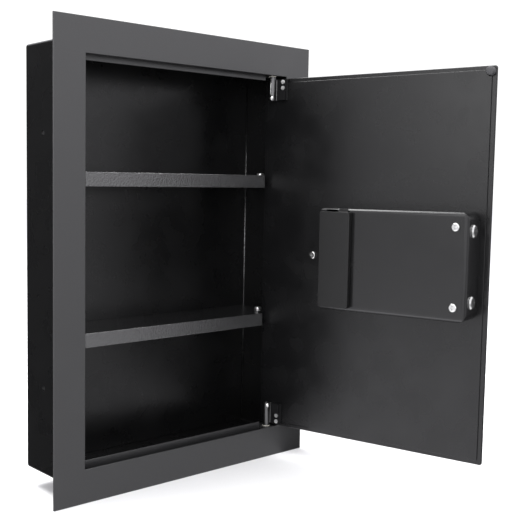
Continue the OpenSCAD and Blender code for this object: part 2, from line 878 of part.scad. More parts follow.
// Button on the hinge side of the housing that sets a new code
module reset_button() {
    color("firebrick") on_door() {
        bar_x(box_x1 - 4, box_x1 + 2.5, reset_y, reset_z, reset_d);
        bar_x(box_x1 - 5, box_x1 - 4, reset_y, reset_z, reset_d + 3);
    }
}

// ---- Control panel on the door's front ----

module key_window(i, grow, y0, y1) {
    x = key_x + (i % 3 - 1) * key_pitch_x;
    z = key_z + (1.5 - floor(i / 3)) * key_pitch_z;
    plate(x - key_w / 2 - grow, x + key_w / 2 + grow,
          z - key_h / 2 - grow, z + key_h / 2 + grow, y0, y1, 1.5);
}

module indicator(i, y0, y1, d) {
    bar_y(key_x + (i - 1) * key_pitch_x, y0, y1, light_z, d);
}

module control_panel() {
    x0 = panel_x - panel_w / 2;
    x1 = panel_x + panel_w / 2;
    color([0.1, 0.1, 0.11]) on_door() difference() {
        plate(x0, x1, lock_z - panel_h / 2, lock_z + panel_h / 2, panel_front, door_front, 12);
        block([key_x - 30, panel_front + panel_wall, lock_z - 44], [x1 - 3, door_front + 1, lock_z + 44]);
        for (i = [0 : 11]) key_window(i, 0.3, panel_front - 1, door_front);
        for (i = [0 : 2]) indicator(i, panel_front - 1, door_front, light_d + 0.2);
        bar_y(spindle_x, panel_front - 1, panel_front + 2, spindle_z, spindle_d + 1);
        bar_y(spindle_x, panel_front + 1, door_front + 1, spindle_z, spindle_d + 4);
        bar_y(cylinder_x, panel_front - 1, door_front + 1, cylinder_z, cylinder_d + 0.5);
        bar_y(cover_pivot_x, panel_front - 1, door_front + 1, cylinder_z, 4);
    }
}

// Keypad board with the flexible tail that runs through the door to the circuit board
module keypad_board() {
    tail_y = board_y - tail_t;
    color([0.1, 0.35, 0.2]) on_door() {
        block([key_x - 29, door_front - 3.5, lock_z - 42], [key_x + 29, door_front - 2, lock_z + 42]);
        block([key_x - tail_w / 2, door_front - 2, lock_z - 1.5],
              [key_x + tail_w / 2, board_y, lock_z + 1.5]);
        block([key_x - 20, tail_y, lock_z - 1.5], [key_x - tail_w / 2, board_y, lock_z + 1.5]);
    }
}

module indicator_lights() {
    color([0.8, 0.9, 0.7]) on_door() for (i = [0 : 2]) {
        indicator(i, panel_front - 0.6, panel_front + 6, light_d);
        indicator(i, panel_front + panel_wall, panel_front + panel_wall + 1, light_d + 2);
    }
}

// Rubber key with the rim that keeps it behind the panel
module key_cap(i) {
    color([0.28, 0.28, 0.3]) on_door() {
        key_window(i, 0, panel_front - 2, panel_front + panel_wall + 0.2);
        key_window(i, 0.8, panel_front + panel_wall + 0.2, panel_front + panel_wall + 1.2);
    }
}

// Round knob with a raised grip bar
module knob() {
    r = knob_d / 2;
    y = panel_front - 0.4;
    color([0.12, 0.12, 0.13]) on_door() translate([spindle_x, y, spindle_z]) difference() {
        union() {
            rotate([90, 0, 0]) rotate_extrude()
                polygon([[0, 0], [r, 0], [r, 4], [r - 1, 6], [r - 3, 7], [0, 7]]);
            block([-5, -knob_h, -r + 2.5], [5, -6, r - 2.5]);
        }
        bar_y(0, -knob_h + 6, 1, 0, spindle_d);
    }
}

// Barrel of the emergency lock
module lock_cylinder() {
    color("silver") on_door() difference() {
        bar_y(cylinder_x, panel_front + 0.5, door_back + 5, cylinder_z, cylinder_d);
        bar_y(cylinder_x, panel_front, door_back + 6, cylinder_z, plug_d + 2 * pin_play);
    }
}

// Plug with its keyway and the cam on its inner end
module key_plug() {
    y0 = panel_front + 0.5;
    y1 = door_back + 5.2;
    color([0.8, 0.72, 0.45]) on_door() difference() {
        union() {
            bar_y(cylinder_x, y0, y1, cylinder_z, plug_d);
            bar_y(cylinder_x, y1, y1 + 2, cylinder_z, 11);
            block([cylinder_x - 4, y1, cylinder_z - 13], [cylinder_x + 4, y1 + 2, cylinder_z]);
        }
        block([cylinder_x - 0.9, y0 - 1, cylinder_z - 3.2], [cylinder_x + 0.9, y0 + 20, cylinder_z + 3.2]);
    }
}

// Cover that swings aside from the keyhole
module key_cover() {
    y0 = panel_front - 3.2;
    y1 = panel_front - 0.3;
    color([0.12, 0.12, 0.13]) on_door() difference() {
        union() {
            block([cylinder_x, y0, cylinder_z - cover_half], [cover_pivot_x, y1, cylinder_z + cover_half]);
            for (x = [cylinder_x, cover_pivot_x]) bar_y(x, y0, y1, cylinder_z, 2 * cover_half);
        }
        bar_y(cover_pivot_x, y0 - 1, y1 + 1, cylinder_z, 4 + 2 * pin_play);
    }
}

module cover_rivet() {
    color("silver") on_door() {
        bar_y(cover_pivot_x, panel_front - 3.4, door_front, cylinder_z, 4);
        bar_y(cover_pivot_x, panel_front - 4.6, panel_front - 3.4, cylinder_z, 7);
    }
}

front_frame();
body_shell();
back_panel();
stop_top();
stop_bottom();
stop_left();
strike_plate();
shelf_upper();
shelf_lower();
shelf_brackets();
shelf_screws();
hinge_plate_upper();
hinge_plate_lower();
hinge_bushes();
door_panel();
door_liner();
door_bumper();
hinge_bracket_upper();
hinge_bracket_lower();
hinge_pins();
hinge_screws();
pin_screws();
lock_housing();
housing_screws();
bolt_guide();
circuit_board();
board_standoffs();
solenoid_frame();
solenoid_coil();
solenoid_plunger();
plunger_spring();
bolt_carriage();
locking_bolts();
bolt_nuts();
battery_tray();
batteries();
battery_cover();
reset_button();
control_panel();
keypad_board();
indicator_lights();
spindle_bush();
knob();
spindle();
lock_cylinder();
key_plug();
key_cover();
cover_rivet();
for (i = [0 : 11])
    key_cap(i);
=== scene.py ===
import json
import math

import bmesh
import bpy
from mathutils import Matrix, Vector


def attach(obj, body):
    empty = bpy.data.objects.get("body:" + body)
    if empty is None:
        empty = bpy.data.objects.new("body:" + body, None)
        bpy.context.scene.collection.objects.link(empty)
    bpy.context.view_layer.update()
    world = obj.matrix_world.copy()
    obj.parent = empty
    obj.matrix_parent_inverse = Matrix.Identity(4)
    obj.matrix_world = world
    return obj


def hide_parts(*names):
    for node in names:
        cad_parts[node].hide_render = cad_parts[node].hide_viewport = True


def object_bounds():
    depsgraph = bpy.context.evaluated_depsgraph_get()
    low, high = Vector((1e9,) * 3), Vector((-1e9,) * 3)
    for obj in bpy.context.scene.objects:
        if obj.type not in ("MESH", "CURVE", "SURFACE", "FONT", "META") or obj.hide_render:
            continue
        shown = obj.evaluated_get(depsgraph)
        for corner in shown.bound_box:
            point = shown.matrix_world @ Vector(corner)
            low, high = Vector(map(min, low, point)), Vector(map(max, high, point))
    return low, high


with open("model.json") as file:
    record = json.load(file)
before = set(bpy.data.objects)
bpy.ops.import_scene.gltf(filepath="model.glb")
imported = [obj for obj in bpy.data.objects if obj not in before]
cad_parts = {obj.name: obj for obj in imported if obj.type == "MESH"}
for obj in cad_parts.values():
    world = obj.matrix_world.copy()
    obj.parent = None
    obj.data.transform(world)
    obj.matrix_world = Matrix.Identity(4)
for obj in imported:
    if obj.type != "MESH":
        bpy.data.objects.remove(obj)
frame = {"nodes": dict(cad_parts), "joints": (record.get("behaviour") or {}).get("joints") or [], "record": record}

CAD_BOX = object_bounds()
NODES = frame["nodes"]
BODY_OF = {n: b for b, ns in frame["record"]["behaviour"]["bodies"].items() for n in ns}
SLOT_OF = {s["node"]: s["material_slot"] for s in frame["record"]["subparts"]}
MM = 0.001
SAME_PLACE = 0.002 * MM  # corners nearer than this are one corner
SHARP = math.radians(28)  # edges that turn more than this are real edges
FACET = 1.2 * MM  # shorter edges belong to a round shape

# ---------------------------------------------------------------- the shut door's own frame
# Door pieces are drawn with the door shut and then swung to the stored open pose.
HINGE = next(j for j in frame["joints"] if j["name"] == "door_hinge")
PIVOT = Vector(HINGE["pos_m"])
SWING = -math.radians(HINGE["range_deg"][0])
OPEN = Matrix.Translation(PIVOT) @ Matrix.Rotation(SWING, 4, "Z") @ Matrix.Translation(-PIVOT)
SHUT = OPEN.inverted()


def shut_box(node):
    """Lowest and highest corner of a door-mounted node with the door shut."""
    co = [SHUT @ v.co for v in NODES[node].data.vertices]
    return (Vector([min(p[i] for p in co) for i in range(3)]),
            Vector([max(p[i] for p in co) for i in range(3)]))


# ---------------------------------------------------------------- camera
def make_camera():
    """Camera at the photograph's viewing angle, with its lens and how far its frame is shifted."""
    yaw, pitch, roll = (math.radians(a) for a in (40.366, -5.013, 0.783))
    at = Vector((-0.7084, -0.8605, 0.0965))
    cam = bpy.data.cameras.new("camera")
    cam.sensor_width, cam.lens = 36, 62.065
    cam.shift_x, cam.shift_y = 0.10288, 0.00038
    cam.clip_start, cam.clip_end = 0.05, 80
    look = Vector((math.sin(yaw) * math.cos(pitch), math.cos(yaw) * math.cos(pitch), math.sin(pitch)))
    level = Vector((math.cos(yaw), -math.sin(yaw), 0))
    right = level * math.cos(roll) + level.cross(look) * math.sin(roll)
    up = right.cross(look)
    turn = Matrix((right, up, -look)).transposed().to_4x4()
    ob = bpy.data.objects.new("camera", cam)
    ob.matrix_world = Matrix.Translation(at) @ turn
    bpy.context.scene.collection.objects.link(ob)
    bpy.context.scene.camera = ob


make_camera()


# ---------------------------------------------------------------- light and floor
def area_light(name, at, to, width, height, power):
    """Rectangular lamp of that size and power in watts, aimed at a point."""
    light = bpy.data.lights.new(name, "AREA")
    light.energy, light.shape, light.size, light.size_y = power, "RECTANGLE", width, height
    ob = bpy.data.objects.new(name, light)
    ob.location = at
    ob.rotation_mode = "QUATERNION"
    ob.rotation_quaternion = (Vector(to) - Vector(at)).to_track_quat("-Z", "Y")
    bpy.context.scene.collection.objects.link(ob)


def make_world():
    """Bright studio surround, brighter above, with dark screens and bright panels standing in it."""
    world = bpy.data.worlds.new("studio")
    bpy.context.scene.world = world
    world.use_nodes = True
    tree = world.node_tree
    tree.nodes.clear()
    new, link = tree.nodes.new, tree.links.new
    out, ground = new("ShaderNodeOutputWorld"), new("ShaderNodeBackground")
    place = new("ShaderNodeTexCoord").outputs["Generated"]

    def fade(value, start, end, low, high):
        """Smooth step from low to high between two values."""
        n = new("ShaderNodeMapRange")
        n.interpolation_type = "SMOOTHSTEP"
        for key, number in (("From Min", start), ("From Max", end), ("To Min", low), ("To Max", high)):
            n.inputs[key].default_value = number
        link(value, n.inputs["Value"])
        return n.outputs["Result"]

    def patch(x, y, z, start, end, level):
        """Level in that direction, fading in between two cosines of the angle from it."""
        toward = new("ShaderNodeVectorMath")
        toward.operation = "DOT_PRODUCT"
        toward.inputs[1].default_value = Vector((x, y, z)).normalized()
        link(place, toward.inputs[0])
        return fade(toward.outputs["Value"], start, end, 1.0, level)

    split = new("ShaderNodeSeparateXYZ")
    link(place, split.inputs[0])
    above = fade(split.outputs["Z"], -0.35, 0.3, 0.5, 1.0)
    ground_glow = fade(split.outputs["Z"], -0.8, -0.5, 2.2, 1.0)
    screen_behind = patch(-0.5, 0.85, -0.06, 0.72, 0.88, 0.08)
    screen_right = patch(0.96, -0.12, -0.22, 0.86, 0.97, 0.12)
    panel_front = patch(-0.6, -0.8, 0.05, 0.8, 0.93, 1.9)
    panel_low_left = patch(-0.9, 0.1, -0.6, 0.85, 0.95, 2.8)
    grey = above
    for level in (ground_glow, screen_behind, screen_right, panel_front, panel_low_left):
        both = new("ShaderNodeMath")
        both.operation = "MULTIPLY"
        link(grey, both.inputs[0])
        link(level, both.inputs[1])
        grey = both.outputs["Value"]
    cool = new("ShaderNodeVectorMath")
    cool.operation = "MULTIPLY"
    cool.inputs[1].default_value = (0.99, 0.985, 1.025)
    link(grey, cool.inputs[0])
    link(cool.outputs["Vector"], ground.inputs["Color"])
    ground.inputs["Strength"].default_value = 1.55
    link(ground.outputs["Background"], out.inputs["Surface"])


def make_floor():
    """Wide pale floor under the safe."""
    z = CAD_BOX[0].z
    half = 14
    me = bpy.data.meshes.new("floor")
    me.from_pydata([(-half, -half, z), (half, -half, z), (half, half, z), (-half, half, z)],
                   [], [(0, 1, 2, 3)])
    ob = bpy.data.objects.new("floor", me)
    bpy.context.scene.collection.objects.link(ob)
    mat = bpy.data.materials.new("floor_pale")
    mat.use_nodes = True
    tree = mat.node_tree
    noise, ramp = tree.nodes.new("ShaderNodeTexNoise"), tree.nodes.new("ShaderNodeValToRGB")
    noise.inputs["Scale"].default_value = 0.6
    ramp.color_ramp.elements[0].color = (0.70, 0.70, 0.70, 1)
    ramp.color_ramp.elements[1].color = (0.74, 0.74, 0.74, 1)
    shader = tree.nodes["Principled BSDF"]
    shader.inputs["Roughness"].default_value = 0.95
    shader.inputs["Specular IOR Level"].default_value = 0.1
    tree.links.new(noise.outputs["Fac"], ramp.inputs["Fac"])
    tree.links.new(ramp.outputs["Color"], shader.inputs["Base Color"])
    me.materials.append(mat)
    ob.visible_glossy = False


def make_backdrop():
    """White dome round the studio that only the camera sees."""
    bm = bmesh.new()
    bmesh.ops.create_icosphere(bm, subdivisions=3, radius=30)
    me = bpy.data.meshes.new("backdrop")
    bm.to_mesh(me)
    bm.free()
    ob = bpy.data.objects.new("backdrop", me)
    bpy.context.scene.collection.objects.link(ob)
    mat = bpy.data.materials.new("backdrop_white")
    mat.use_nodes = True
    tree = mat.node_tree
    tree.nodes.clear()
    noise, ramp, glow, out = (tree.nodes.new("ShaderNode" + kind)
                              for kind in ("TexNoise", "ValToRGB", "Emission", "OutputMaterial"))
    ramp.color_ramp.elements[0].color = (0.97, 0.97, 0.97, 1)
    glow.inputs["Strength"].default_value = 1.2
    tree.links.new(noise.outputs["Fac"], ramp.inputs["Fac"])
    tree.links.new(ramp.outputs["Color"], glow.inputs["Color"])
    tree.links.new(glow.outputs["Emission"], out.inputs["Surface"])
    me.materials.append(mat)
    ob.visible_glossy = ob.visible_diffuse = ob.visible_shadow = ob.visible_transmission = False


def make_flag():
    """Black card, seen only in reflections, that stands in for the door's shadow on the floor: painted shade that
    keeps bright reflections off the foot of the frame beside the door.
    """
    z = CAD_BOX[0].z + 0.2 * MM
    near, far = Vector((0.164, -0.003, z)), Vector((0.55, -0.50, z))
    me = bpy.data.meshes.new("flag")
    me.from_pydata([near, far, (0.9, -0.45, z), (0.9, -0.003, z)], [], [(0, 1, 2, 3)])
    ob = bpy.data.objects.new("flag", me)
    bpy.context.scene.collection.objects.link(ob)
    mat = bpy.data.materials.new("flag_black")
    mat.use_nodes = True
    tree = mat.node_tree
    noise, ramp = tree.nodes.new("ShaderNodeTexNoise"), tree.nodes.new("ShaderNodeValToRGB")
    # near-black colour: painted shade of the door's shadow on the floor, seen only in reflections
    ramp.color_ramp.elements[0].color = (0.002, 0.002, 0.002, 1)
    ramp.color_ramp.elements[1].color = (0.006, 0.006, 0.006, 1)
    tree.links.new(noise.outputs["Fac"], ramp.inputs["Fac"])
    tree.links.new(ramp.outputs["Color"], tree.nodes["Principled BSDF"].inputs["Base Color"])
    tree.nodes["Principled BSDF"].inputs["Specular IOR Level"].default_value = 0
    me.materials.append(mat)
    ob.visible_camera = ob.visible_diffuse = ob.visible_shadow = False


make_world()
bpy.context.scene.view_settings.view_transform = "Standard"
area_light("key", (-0.45, -0.8, 1.3), (0, 0, 0.1), 0.9, 0.7, 12)
area_light("left", (-2.0, -0.3, 0.7), (0.15, -0.15, 0), 0.9, 1.2, 8)
area_light("right", (1.1, -0.75, 1.5), (-0.05, 0, 0), 0.5, 0.4, 9)
area_light("overhead", (-0.2, 0.65, 2.1), (0, 0, 0), 1.8, 1.5, 100)
make_floor()
make_backdrop()
make_flag()


# ---------------------------------------------------------------- materials
class Mat:
    """A Principled material with helpers for procedural detail in the piece's own coordinates."""

    def __init__(self, name, colour, rough, metal=0.0, **sockets):
        self.mat = bpy.data.materials.new(name)
        self.mat.use_nodes = True
        self.tree = self.mat.node_tree
        self.bsdf = self.tree.nodes["Principled BSDF"]
        self.bsdf.inputs["Base Color"].default_value = (*colour, 1)
        self.bsdf.inputs["Roughness"].default_value = rough
        self.bsdf.inputs["Metallic"].default_value = metal
        for key, value in sockets.items():
            self.bsdf.inputs[key.replace("_", " ")].default_value = value
        self.place = self.tree.nodes.new("ShaderNodeTexCoord").outputs["Object"]
        self.height = None

    def node(self, kind, **inputs):
        """New node with those inputs set."""
        n = self.tree.nodes.new(kind)
        for key, value in inputs.items():
            n.inputs[key.replace("_", " ")].default_value = value
        return n

    def link(self, a, b):
        self.tree.links.new(a, b)

    def noise(self, scale, detail=2.0, rough=0.5, stretch=None):
        """Cloudy factor of that many clouds a metre, stretched if that is given."""
        n = self.node("ShaderNodeTexNoise", Scale=scale, Detail=detail, Roughness=rough)
        source = self.place
        if stretch:
            m = self.node("ShaderNodeMapping")
            m.inputs["Scale"].default_value = stretch
            self.link(self.place, m.inputs["Vector"])
            source = m.outputs["Vector"]
        self.link(source, n.inputs["Vector"])
        return n.outputs["Fac"]

    def cells(self, scale):
        """Rounded pebbles, that many a metre."""
        n = self.node("ShaderNodeTexVoronoi", Scale=scale)
        n.feature = "SMOOTH_F1"
        n.inputs["Smoothness"].default_value = 0.6
        self.link(self.place, n.inputs["Vector"])
        return n.outputs["Distance"]

    def along_door(self):
        """Place across the shut door in millimetres, positive towards the hinges."""
        n = self.node("ShaderNodeVectorMath")
        n.operation = "DOT_PRODUCT"
        across = OPEN.to_3x3() @ Vector((1, 0, 0))
        n.inputs[1].default_value = across / MM
        self.link(self.place, n.inputs[0])
        shift = self.node("ShaderNodeMath")
        shift.inputs[1].default_value = (PIVOT.x - PIVOT.dot(across)) / MM
        self.link(n.outputs["Value"], shift.inputs[0])
        return shift.outputs["Value"]

    def spread(self, fac, low, high, start=0.3, end=0.7):
        """Maps a factor to a range of values."""
        n = self.node("ShaderNodeMapRange")
        for key, value in (("From Min", start), ("From Max", end), ("To Min", low), ("To Max", high)):
            n.inputs[key].default_value = value
        self.link(fac, n.inputs["Value"])
        return n.outputs["Result"]

    def tint(self, fac, a, b, start=0.3, end=0.7):
        """Colours the surface from a to b along a factor."""
        n = self.node("ShaderNodeValToRGB")
        e = n.color_ramp.elements
        e[0].position, e[0].color = start, (*a, 1)
        e[1].position, e[1].color = end, (*b, 1)
        self.link(fac, n.inputs["Fac"])
        self.link(n.outputs["Color"], self.bsdf.inputs["Base Color"])

    def roughness(self, fac, low, high):
        """Varies the roughness with a factor."""
        self.link(self.spread(fac, low, high), self.bsdf.inputs["Roughness"])

    def bump(self, fac, depth_mm):
        """Adds a layer of relief of that depth."""
        n = self.node("ShaderNodeBump", Strength=1.0, Distance=depth_mm * MM)
        self.link(fac, n.inputs["Height"])
        if self.height:
            self.link(self.height, n.inputs["Normal"])
        self.height = n.outputs["Normal"]
        self.link(self.height, self.bsdf.inputs["Normal"])


def powder(name, colour, rough, grain, depth, gloss=0.5, ior=1.5):
    """Powder coat: orange peel of that many grains a metre and that depth in millimetres."""
    m = Mat(name, colour, rough, Specular_IOR_Level=gloss, IOR=ior)
    uneven = 0.12
    dark = [c * (1 - uneven) for c in colour]
    light = [c * (1 + uneven) for c in colour]
    m.tint(m.noise(grain * 0.8), dark, light)
    m.roughness(m.noise(26, 3.0), rough - 0.05, rough + 0.05)
    m.bump(m.noise(grain, 3.0, 0.6), depth)
    m.bump(m.cells(grain * 1.3), depth * 0.5)
    return m.mat


def plated(name, colour, rough, grain=420):
    """Bright plated steel with fine scratches and a faint cloudiness."""
    m = Mat(name, colour, rough, metal=1.0)
    m.tint(m.noise(60, 3.0), [c * 0.82 for c in colour], colour)
    m.roughness(m.noise(grain, 4.0, 0.6), rough - 0.08, rough + 0.1)
    m.bump(m.noise(grain * 2, 4.0, 0.65), 0.012)
    return m.mat


def moulded(name, colour, rough, gloss=0.5):
    """Moulded plastic or rubber with a fine eroded surface."""
    m = Mat(name, colour, rough, Specular_IOR_Level=gloss)
    m.tint(m.noise(90, 3.0), [c * 0.85 for c in colour], [c * 1.12 for c in colour])
    m.roughness(m.noise(220, 3.0), rough - 0.06, rough + 0.06)
    m.bump(m.noise(1500), 0.015)
    return m.mat


def bare_barrel(name):
    """Hinge steel that is bare on the barrel and painted black on the leaf."""
    m = Mat(name, (0.3, 0.3, 0.3), 0.33)
    barrel_edge = PIVOT.x / MM - 5.7
    bare = m.spread(m.along_door(), 0, 1, start=barrel_edge - 0.5, end=barrel_edge + 0.5)
    wear = m.noise(350, 4.0, 0.6, (1, 1, 0.2))
    m.link(bare, m.bsdf.inputs["Metallic"])
    m.link(m.spread(bare, 0.04, 0.5, 0, 1), m.bsdf.inputs["Specular IOR Level"])
    m.tint(bare, (0.007, 0.007, 0.0073), (0.1, 0.1, 0.1), 0.4, 0.6)
    m.roughness(wear, 0.26, 0.4)
    m.bump(wear, 0.03)
    return m.mat


def lamps(name):
    """Green, amber and red lenses in a row."""
    m = Mat(name, (0.5, 0.5, 0.5), 0.15)
    ramp = m.node("ShaderNodeValToRGB")
    ramp.color_ramp.interpolation = "CONSTANT"
    first, last = ramp.color_ramp.elements
    first.position, first.color = 0.0, (0.02, 0.30, 0.03, 1)
    last.position, last.color = 0.66, (0.42, 0.01, 0.01, 1)
    ramp.color_ramp.elements.new(0.33).color = (0.55, 0.24, 0.01, 1)
    row_low, row_high = shut_box("indicator_lights")
    m.link(m.spread(m.along_door(), 0, 1, row_low.x / MM, row_high.x / MM), ramp.inputs["Fac"])
    m.link(ramp.outputs["Color"], m.bsdf.inputs["Base Color"])
    m.roughness(m.noise(700), 0.1, 0.22)
    return m.mat


def wound(name):
    """Copper wire in close turns round the solenoid, with painted shade darkening the grooves between the turns.
    """
    m = Mat(name, (0.6, 0.25, 0.1), 0.35, metal=1.0)
    wave = m.node("ShaderNodeTexWave", Scale=400.0, Distortion=0.3)
    m.link(m.place, wave.inputs["Vector"])
    # the waves that make the grooves also darken the colour there: painted shade between the turns
    m.tint(wave.outputs["Fac"], (0.3, 0.1, 0.04), (0.62, 0.27, 0.12), 0.2, 0.8)
    m.bump(wave.outputs["Fac"], 0.2)
    return m.mat


def wrapped(name):
    """Black cell sleeve with a copper coloured band at one end."""
    m = Mat(name, (0.02, 0.02, 0.02), 0.25)
    band_z = 36 * MM
    split = m.node("ShaderNodeSeparateXYZ")
    m.link(m.place, split.inputs["Vector"])
    band = m.spread(split.outputs["Z"], 0, 1, band_z, band_z + 0.5 * MM)
    m.tint(band, (0.015, 0.015, 0.017), (0.45, 0.2, 0.08))
    m.roughness(m.noise(200), 0.2, 0.35)
    return m.mat


def traced(name):
    """Circuit board lacquer with lighter tracks."""
    m = Mat(name, (0.02, 0.12, 0.05), 0.3)
    brick = m.node("ShaderNodeTexBrick", Scale=180.0)
    m.link(m.place, brick.inputs["Vector"])
    m.tint(brick.outputs["Fac"], (0.012, 0.09, 0.035), (0.05, 0.22, 0.09))
    m.roughness(m.noise(300), 0.22, 0.38)
    return m.mat


MATS = {
    "frame_paint": powder("frame_paint", (0.014, 0.014, 0.0145), 0.36, 620, 0.045, 0.68),
    "body_paint": powder("body_paint", (0.003, 0.003, 0.0031), 0.28, 620, 0.045, 0.39),
    "shelf_paint": powder("shelf_paint", (0.009, 0.009, 0.0092), 0.16, 430, 0.6, 0.95, 1.7),
    "door_paint": powder("door_paint", (0.003, 0.003, 0.0032), 0.26, 560, 0.06, 0.355),
    "housing_paint": powder("housing_paint", (0.0036, 0.0036, 0.0038), 0.24, 900, 0.02, 0.375),
    "cover_plastic": moulded("cover_plastic", (0.005, 0.005, 0.005), 0.34, gloss=0.29),
    "panel_plastic": moulded("panel_plastic", (0.016, 0.016, 0.018), 0.33),
    "key_rubber": moulded("key_rubber", (0.075, 0.075, 0.082), 0.55),
    "bumper_rubber": moulded("bumper_rubber", (0.042, 0.042, 0.044), 0.6, gloss=0.3),
    "zinc_steel": plated("zinc_steel", (0.54, 0.54, 0.53), 0.2),
    "bright_zinc": plated("bright_zinc", (0.92, 0.92, 0.91), 0.36),
    "hinge_steel": bare_barrel("hinge_steel"),
    "cast_zinc": plated("cast_zinc", (0.4, 0.4, 0.42), 0.45, 200),
    "bush_nylon": moulded("bush_nylon", (0.34, 0.33, 0.29), 0.45),
    "brass": plated("brass", (0.62, 0.44, 0.18), 0.28),
    "copper_coil": wound("copper_coil"),
    "board_green": traced("board_green"),
    "cell_wrap": wrapped("cell_wrap"),
    "reset_red": moulded("reset_red", (0.4, 0.02, 0.015), 0.3),
    "lamp_lens": lamps("lamp_lens"),
    "mark_white": moulded("mark_white", (0.72, 0.72, 0.70), 0.5),
}


# ---------------------------------------------------------------- pieces
def bend(edge):
    """Angle between an edge's two faces."""
    return edge.calc_face_angle(0.0) if len(edge.link_faces) == 2 else math.pi


def chains(edges):
    """Sets of edges that hang together."""
    loose = set(edges)
    while loose:
        chain, todo = set(), [loose.pop()]
        while todo:
            edge = todo.pop()
            chain.add(edge)
            near = {e for v in edge.verts for e in v.link_edges} & loose
            loose -= near
            todo += near
        yield chain


def rims(edges):
    """Closed rings of many short edges, as sets of corners."""
    fewest = 12
    for ring in chains(edges):
        corners = {v for e in ring for v in e.verts}
        if len(corners) >= fewest and len(corners) == len(ring):
            yield corners


def cut_places(bm):
    """Places along each axis where a straight edge lies or a round hole is centred, in order."""
    places, short = [set(), set(), set()], []
    for e in bm.edges:
        if bend(e) < SHARP:
            continue
        a, b = (v.co for v in e.verts)
        if (b - a).length < FACET:
            short.append(e)
            continue
        for i in range(3):
            if abs(b[i] - a[i]) < SAME_PLACE / 2:
                places[i].add(round(a[i], 5))
    for corners in rims(short):
        for i in range(3):
            low = min(v.co[i] for v in corners)
            high = max(v.co[i] for v in corners)
            if high - low > 0.01 * MM:
                places[i].add(round((low + high) / 2, 5))
    return [sorted(p) for p in places]


def clean_copy(node):
    """A CAD node's mesh with its flat faces cut square to their edges, so that they can be rounded.

    The mesh is first cut across at each of its cut places. The slanted edges that its flat faces
    had are then taken out."""
    flat, closest_cuts = math.radians(0.3), 0.05 * MM
    on_door = BODY_OF[node] != "safe_body"
    bm = bmesh.new()
    bm.from_mesh(NODES[node].data)
    if on_door:
        bm.transform(SHUT)
    bmesh.ops.remove_doubles(bm, verts=bm.verts, dist=SAME_PLACE)
    for i, places in enumerate(cut_places(bm)):
        axis = Vector([float(k == i) for k in range(3)])
        last = -math.inf
        for c in places:
            if c - last < closest_cuts:
                continue
            last = c
            everything = bm.verts[:] + bm.edges[:] + bm.faces[:]
            bmesh.ops.bisect_plane(bm, geom=everything, dist=SAME_PLACE, plane_co=axis * c, plane_no=axis)
    bmesh.ops.remove_doubles(bm, verts=bm.verts, dist=SAME_PLACE)
    slanted = [e for e in bm.edges if bend(e) < flat
               and sum(abs(p - q) < SAME_PLACE for p, q in zip(e.verts[0].co, e.verts[1].co)) < 2]
    bmesh.ops.dissolve_edges(bm, edges=slanted, use_verts=False)
    if on_door:
        bm.transform(OPEN)
    bm.verts.index_update()
    me = bpy.data.meshes.new(node + "_finish")
    me.from_pydata([v.co[:] for v in bm.verts], [], [[v.index for v in f.verts] for f in bm.faces])
    bm.free()
    return me


def add(name, me, body, slot, material=None):
    """Links a mesh as a piece that rides on a body."""
    ob = bpy.data.objects.new(name, me)
    bpy.context.scene.collection.objects.link(ob)
    me.materials.clear()
    me.materials.append(MATS[material or slot])
    me.shade_smooth()
    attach(ob, body)
    return ob


def round_edges(ob, width_mm, clamp=False, windows=True):
    """Rounds a piece's sharp edges, but not the rims of its round holes and studs.

    Without windows, the edges of its small openings stay sharp too."""
    bm = bmesh.new()
    bm.from_mesh(ob.data)
    weight = bm.edges.layers.float.new("bevel_weight_edge")
    sharp = [e for e in bm.edges if bend(e) > SHARP]
    kept = {v for ring in rims([e for e in sharp if e.calc_length() < FACET]) for v in ring}
    if not windows:
        for chain in chains(sharp):
            corners = {v for e in chain for v in e.verts}
            heights = [v.co.z for v in corners]
            if max(heights) - min(heights) < ob.dimensions.z / 2:
                kept |= corners
    for e in sharp:
        e.smooth = clamp or not kept.issuperset(e.verts)
        e[weight] = float(e.smooth)
    bm.to_mesh(ob.data)
    bm.free()
    mod = ob.modifiers.new("round", "BEVEL")
    mod.width, mod.segments = width_mm * MM, 2
    mod.limit_method = "WEIGHT"
    mod.use_clamp_overlap = clamp
    mod.loop_slide = False
    mod.harden_normals = True


BRIGHTER = {"hinge_screws": "bright_zinc", "shelf_screws": "bright_zinc"}
ROUND = {  # rounding of each node's edges in millimetres
    "front_frame": 0.8, "body_shell": 0.7, "back_panel": 0.5, "stop_top": 0.5, "stop_bottom": 0.5,
    "stop_left": 0.5, "strike_plate": 0.4, "shelf_upper": 0.7, "shelf_lower": 0.7,
    "door_panel": 0.9, "door_liner": 0.5, "lock_housing": 0.3, "battery_cover": 0.5,
    "control_panel": 0.6, "hinge_bracket_upper": 0.6, "hinge_bracket_lower": 0.6,
    "knob": 0.4, "key_cover": 0.7, "door_bumper": 0.4, "locking_bolts": 0.4,
}
SHARP_WINDOWS = ("control_panel", "battery_cover")
for node in NODES:
    me = clean_copy(node)
    piece = add(node + "_finish", me, BODY_OF[node], SLOT_OF[node], BRIGHTER.get(node))
    round_edges(piece, ROUND.get(node, 0.25), clamp=node not in ROUND,
                windows=node not in SHARP_WINDOWS)
    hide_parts(node)


# ---------------------------------------------------------------- details
# Door details are drawn in millimetres with the door shut, on faces that look towards -Y.
PROUD, SUNK = 0.12, 0.1  # a printed mark's height above its face and its depth in it


def box_mm(node):
    """Lowest and highest corner of a door-mounted node in millimetres, with the door shut."""
    return [corner / MM for corner in shut_box(node)]


def bar(bm, x0, z0, x1, z1, at, turn=0.0):
    """Printed bar, turned about Y and moved to a place."""
    corners = bmesh.ops.create_cube(bm, size=1.0)["verts"]
    sides = ((x0, x1), (-PROUD, SUNK), (z0, z1))
    for v in corners:
        v.co = Vector([(a + b) / 2 + v.co[i] * (b - a) for i, (a, b) in enumerate(sides)])
    move = Matrix.Translation(at) @ Matrix.Rotation(turn, 4, "Y")
    bmesh.ops.transform(bm, matrix=move, verts=corners)


